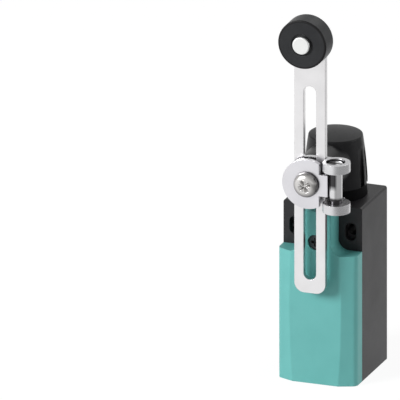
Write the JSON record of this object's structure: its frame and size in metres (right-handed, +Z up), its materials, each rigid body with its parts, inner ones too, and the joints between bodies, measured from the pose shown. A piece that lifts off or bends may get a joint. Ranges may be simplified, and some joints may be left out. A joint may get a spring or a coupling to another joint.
{
  "type": "position switch",
  "caption": "Narrow plastic position switch with a turning head and a slotted, adjustable lever that carries a plastic roller.",
  "frame": {"origin": "centre of the cable entry's mouth in the bottom face", "axes": "+Z up along the enclosure to the head and roller, +Y to the rear mounting face, lever and cover on the -Y side"},
  "size_m": [0.0319, 0.0514, 0.1475],
  "materials": {
    "base_plastic": "fine moulded texture, dark grey",
    "cover_plastic": "satin moulded, teal",
    "head_plastic": "satin moulded, black",
    "roller_plastic": "satin turned, dark grey",
    "bright_steel": "zinc plated, satin",
    "rivet_steel": "bright nickel plated",
    "dark_steel": "blackened",
    "spring_steel": "drawn wire",
    "shaft_steel": "ground",
    "bush_bronze": "sintered bronze",
    "contact_metal": "plated contact strip",
    "block_plastic": "moulded, natural",
    "carrier_plastic": "moulded, white",
    "seal_rubber": "moulded"
  },
  "bodies": {
    "switch_body": {"housing_base": "base_plastic", "front_cover": "cover_plastic", "cover_gasket": "seal_rubber", "cover_screw": "dark_steel", "head_ring": "head_plastic", "plunger_seal": "seal_rubber", "contact_block": "block_plastic", "upper_contacts": "contact_metal", "lower_contacts": "contact_metal", "terminal_screws": "bright_steel", "block_screws": "bright_steel", "plunger_spring": "spring_steel"},
    "head": {"head_housing": "head_plastic", "shaft_bush": "bush_bronze", "shaft_seal": "seal_rubber", "centring_spring": "spring_steel"},
    "shaft": {"lever_shaft": "shaft_steel", "cam": "carrier_plastic", "cam_pin": "shaft_steel", "shaft_clip": "spring_steel", "hub_sleeve": "bright_steel", "clamp_strap": "bright_steel", "clamp_screw": "bright_steel", "clamp_plate": "bright_steel", "lever_screw": "bright_steel"},
    "lever": {"lever_arm": "bright_steel", "roller_pin": "rivet_steel", "roller_spacer": "bright_steel"},
    "roller": {"roller": "roller_plastic"},
    "plunger": {"plunger": "carrier_plastic", "contact_carrier": "carrier_plastic", "contact_bridges": "contact_metal", "bridge_springs": "spring_steel"}
  },
  "joints": [
    {"name": "head_turn", "type": "hinge", "parent": "switch_body", "child": "head", "pos_m": [0, 0, 0.068], "axis": [0, 0, 1], "range_deg": [-180, 180]},
    {"name": "lever_swing", "type": "hinge", "parent": "head", "child": "shaft", "pos_m": [0, 0, 0.0815], "axis": [0, 1, 0], "range_deg": [-75, 75], "stiffness_Nm_per_rad": 0.08},
    {"name": "lever_adjust", "type": "slide", "parent": "shaft", "child": "lever", "axis": [0, 0, 1], "range_m": [-0.035, 0.035]},
    {"name": "roller_spin", "type": "hinge", "parent": "lever", "child": "roller", "pos_m": [0, -0.03215, 0.138], "axis": [0, 1, 0], "continuous": true},
    {"name": "plunger_stroke", "type": "slide", "parent": "switch_body", "child": "plunger", "axis": [0, 0, -1], "range_m": [-0.0016, 0.0016], "deforming": ["plunger_spring"]}
  ],
  "couplings": [
    {"joint": "plunger_stroke", "follows": "lever_swing", "m_per_rad": 0.0012}
  ]
}
